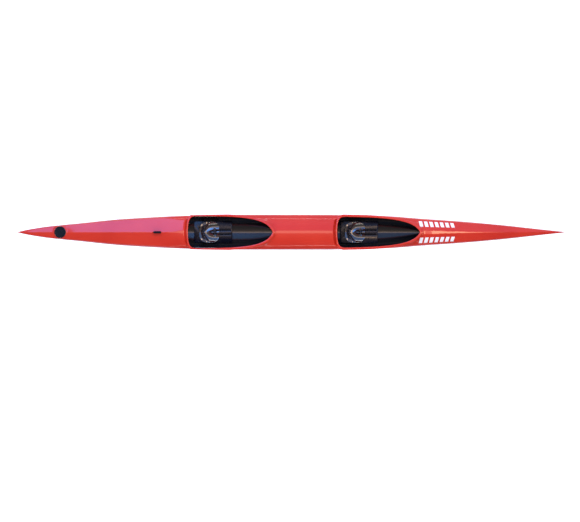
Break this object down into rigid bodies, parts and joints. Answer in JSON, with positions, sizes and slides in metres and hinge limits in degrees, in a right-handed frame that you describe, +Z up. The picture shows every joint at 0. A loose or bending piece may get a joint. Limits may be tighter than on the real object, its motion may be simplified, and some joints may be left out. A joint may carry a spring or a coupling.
{
  "type": "two-seat racing kayak",
  "caption": "Long narrow racing kayak for two paddlers, with cockpit coamings, sliding seats and footrests, a foot tiller, steering lines, a spade rudder and a stern hatch.",
  "frame": {"origin": "lowest point of the keel, halfway along the boat", "axes": "+X forward to the bow, +Y to port, +Z up"},
  "size_m": [6.5, 0.4342, 0.3741],
  "materials": {
    "hull_gelcoat": "gloss",
    "deck_gelcoat": "gloss",
    "seam_white": "gloss",
    "black_laminate": "gloss",
    "inner_board": "matte",
    "foam": "matte",
    "black_plastic": "satin",
    "alloy": "satin",
    "steel": "satin",
    "webbing": "matte",
    "line_cord": "matte",
    "rubber": "matte",
    "rudder_black": "satin"
  },
  "bodies": {
    "boat": {"hull_shell": "hull_gelcoat", "deck_shell": "deck_gelcoat", "seam_trim": "seam_white", "coaming_rear": "deck_gelcoat", "coaming_front": "deck_gelcoat", "bulkhead_aft": "inner_board", "bulkhead_mid": "inner_board", "bulkhead_fore": "inner_board", "stern_foam": "foam", "mid_foam": "foam", "bow_foam": "foam", "seat_platform_rear": "black_laminate", "seat_platform_front": "black_laminate", "foot_rails_rear": "alloy", "foot_rails_front": "alloy", "tiller_block": "black_plastic", "tiller_pivot": "steel", "tiller_washer": "black_plastic", "line_guides": "black_plastic", "rudder_tube": "alloy", "rudder_bushes": "black_plastic", "rudder_shelf": "inner_board", "hatch_ring": "black_plastic", "hatch_screws": "steel", "number_plate_holder": "black_plastic", "number_plate_screws": "steel"},
    "rear_seat": {"seat_rear": "black_laminate", "seat_sliders_rear": "black_plastic", "seat_bolts_rear": "steel"},
    "front_seat": {"seat_front": "black_laminate", "seat_sliders_front": "black_plastic", "seat_bolts_front": "steel"},
    "rear_footrest": {"foot_carriage_rear": "alloy", "foot_knobs_rear": "black_plastic", "footboard_rear": "black_laminate", "foot_strap_rear": "webbing"},
    "front_footrest": {"foot_carriage_front": "alloy", "foot_knobs_front": "black_plastic", "footboard_front": "black_laminate", "foot_strap_front": "webbing"},
    "tiller": {"tiller_bar": "alloy", "tiller_grip": "rubber", "tiller_pin_nuts": "steel"},
    "port_line": {"steering_line_port": "line_cord", "line_ends_port": "steel"},
    "starboard_line": {"steering_line_starboard": "line_cord", "line_ends_starboard": "steel"},
    "rudder": {"rudder_stock": "steel", "rudder_blade": "rudder_black", "rudder_yoke": "alloy", "yoke_screw": "steel", "yoke_pin_nuts": "steel"},
    "stern_hatch": {"hatch_lid": "black_plastic", "hatch_seal": "rubber"}
  },
  "joints": [
    {"name": "rear_seat_slide", "type": "slide", "parent": "boat", "child": "rear_seat", "axis": [1, 0, 0], "range_m": [-0.035, 0.035]},
    {"name": "front_seat_slide", "type": "slide", "parent": "boat", "child": "front_seat", "axis": [1, 0, 0], "range_m": [-0.035, 0.035]},
    {"name": "rear_footrest_slide", "type": "slide", "parent": "boat", "child": "rear_footrest", "axis": [1, 0, 0], "range_m": [-0.025, 0.025]},
    {"name": "front_footrest_slide", "type": "slide", "parent": "boat", "child": "front_footrest", "axis": [1, 0, 0], "range_m": [-0.025, 0.025]},
    {"name": "tiller_turn", "type": "hinge", "parent": "boat", "child": "tiller", "pos_m": [1.83, 0, 0.104], "axis": [0, 0, 1], "range_deg": [-10, 10]},
    {"name": "rudder_turn", "type": "hinge", "parent": "boat", "child": "rudder", "pos_m": [-2.7, 0, 0.186], "axis": [0, 0, 1], "range_deg": [-26.5, 26.5]},
    {"name": "port_line_run", "type": "slide", "parent": "boat", "child": "port_line", "axis": [1, 0, 0], "range_m": [-0.019, 0.019]},
    {"name": "starboard_line_run", "type": "slide", "parent": "boat", "child": "starboard_line", "axis": [1, 0, 0], "range_m": [-0.019, 0.019]},
    {"name": "hatch_lift", "type": "slide", "parent": "boat", "child": "stern_hatch", "axis": [-0.0349, 0, 0.9994], "range_m": [0, 0.08]}
  ],
  "couplings": [
    {"joint": "rudder_turn", "follows": "tiller_turn", "ratio": 2.6},
    {"joint": "port_line_run", "follows": "tiller_turn", "m_per_rad": -0.104},
    {"joint": "starboard_line_run", "follows": "tiller_turn", "m_per_rad": 0.104}
  ]
}
